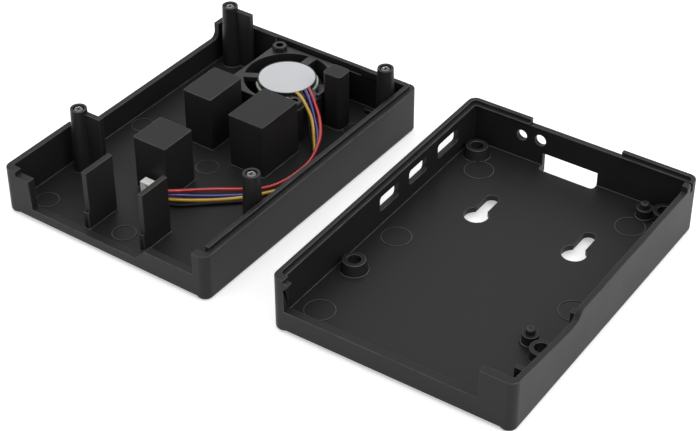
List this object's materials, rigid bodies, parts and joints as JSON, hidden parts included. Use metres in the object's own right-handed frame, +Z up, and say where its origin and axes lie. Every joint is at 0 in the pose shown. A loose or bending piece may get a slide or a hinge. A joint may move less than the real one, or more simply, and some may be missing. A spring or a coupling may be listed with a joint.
{
  "type": "single-board computer case",
  "caption": "Two-part open enclosure for a credit-card-size single-board computer: tray with board bosses and port cut-outs, and a cover with heat blocks, screw posts and a small fan.",
  "frame": {"origin": "centre of the base shell's underside, in the plane it stands on", "axes": "+X from the card end to the open port end, +Y from the cover towards the base's pin-header wall, +Z up"},
  "size_m": [0.0924, 0.1491, 0.021],
  "materials": {
    "black_shell": "matte black coat on a smooth die casting",
    "fan_plastic": "satin moulded black plastic",
    "steel": "bare steel",
    "black_steel": "black oxide",
    "magnet": "dull bonded ferrite",
    "clip_plastic": "natural nylon",
    "bearing_bronze": "sintered bronze",
    "copper_wire": "lacquered copper wire",
    "board": "green solder mask on glass-fibre laminate",
    "label": "silver-grey printed film, bare",
    "wire_red": "smooth insulation",
    "wire_blue": "smooth insulation",
    "wire_black": "smooth insulation",
    "wire_yellow": "smooth insulation",
    "plug": "natural white nylon"
  },
  "bodies": {
    "case": {"base_shell": "black_shell", "cover_shell": "black_shell", "fan_frame": "fan_plastic", "bearing_sleeve": "bearing_bronze", "stator_core": "steel", "stator_windings": "copper_wire", "fan_circuit_board": "board", "fan_label": "label", "fan_screws": "black_steel", "fan_nuts": "black_steel", "cover_screws": "steel", "wire_red": "wire_red", "wire_blue": "wire_blue", "wire_black": "wire_black", "wire_yellow": "wire_yellow", "plug_housing": "plug", "plug_contacts": "steel"},
    "fan_rotor": {"fan_impeller": "fan_plastic", "rotor_yoke": "steel", "rotor_magnet": "magnet", "rotor_shaft": "steel", "shaft_clip": "clip_plastic"}
  },
  "joints": [
    {"name": "fan_spin", "type": "hinge", "parent": "case", "child": "fan_rotor", "pos_m": [-0.03017, -0.08219, 0.0075], "axis": [0, 0, 1], "continuous": true}
  ]
}
